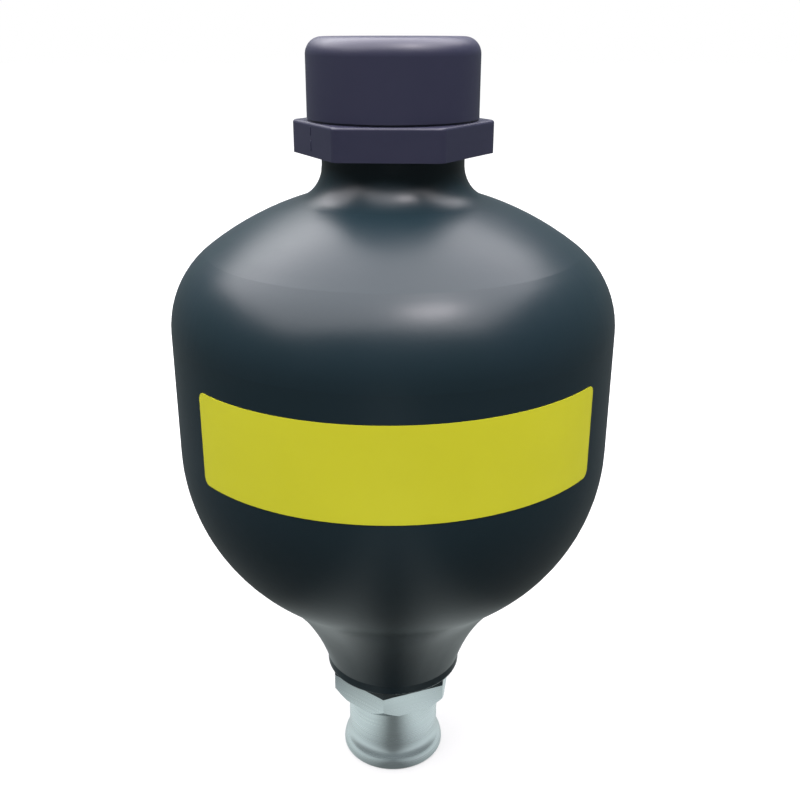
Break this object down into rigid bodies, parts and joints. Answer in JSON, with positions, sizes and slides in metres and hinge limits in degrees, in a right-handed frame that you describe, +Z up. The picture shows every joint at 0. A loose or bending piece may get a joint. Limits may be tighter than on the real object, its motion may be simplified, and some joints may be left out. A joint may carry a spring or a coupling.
{
  "type": "hydraulic accumulator",
  "caption": "Small bladder accumulator: black forged bottle with a yellow wrap label, screw-on protective cap over the gas valve and a bare hexagon fluid port with a flared nose.",
  "frame": {"origin": "centre of the port nose's lower face, on the accumulator's axis", "axes": "+Z up the axis from the fluid port to the protective cap, -Y through the middle of the label at the front, +X to the right as seen from the front"},
  "size_m": [0.114, 0.1141, 0.2052],
  "materials": {
    "black_paint": "semi-gloss",
    "cap_plastic": "satin",
    "port_steel": "turned, satin",
    "label_yellow": "printed film",
    "plated_steel": "zinc plated",
    "brass": "turned",
    "spring_steel": "drawn wire",
    "bladder_rubber": "moulded",
    "seal_rubber": "smooth",
    "white_ring": "smooth"
  },
  "bodies": {
    "bottle": {"shell": "black_paint", "fluid_port_body": "port_steel", "label": "label_yellow", "gas_stem": "plated_steel", "stem_o_ring": "seal_rubber", "stem_washer": "plated_steel", "stem_lock_nut": "plated_steel", "gas_valve_body": "brass", "gas_valve_o_ring": "seal_rubber", "valve_spring": "spring_steel", "valve_spring_retainer": "brass", "bladder": "bladder_rubber", "port_o_ring": "seal_rubber", "port_backup_ring": "white_ring", "poppet_bush": "brass", "poppet_spring": "spring_steel"},
    "gasket": {"cap_gasket": "seal_rubber"},
    "cap": {"protective_cap": "cap_plastic"},
    "valve_core": {"valve_pin": "brass", "valve_pin_seal": "seal_rubber"},
    "poppet": {"poppet": "plated_steel", "poppet_washer": "plated_steel", "poppet_lock_nut": "plated_steel", "poppet_split_pin": "plated_steel"}
  },
  "joints": [
    {"name": "cap_rise", "type": "slide", "parent": "bottle", "child": "gasket", "axis": [0, 0, 1], "range_m": [0, 0.0075]},
    {"name": "cap_turn", "type": "hinge", "parent": "gasket", "child": "cap", "pos_m": [0, 0, 0.187], "axis": [0, 0, 1], "range_deg": [0, 1800.5]},
    {"name": "gas_valve_press", "type": "slide", "parent": "bottle", "child": "valve_core", "axis": [0, 0, 1], "range_m": [-0.0015, 0], "stiffness_N_per_m": 900, "springref_m": 0.002, "deforming": ["valve_spring"]},
    {"name": "poppet_close", "type": "slide", "parent": "bottle", "child": "poppet", "axis": [0, 0, 1], "range_m": [-0.004, 0], "stiffness_N_per_m": 1500, "springref_m": 0.006, "deforming": ["poppet_spring"]}
  ],
  "couplings": [
    {"joint": "cap_turn", "follows": "cap_rise", "rad_per_m": 4188.8}
  ]
}
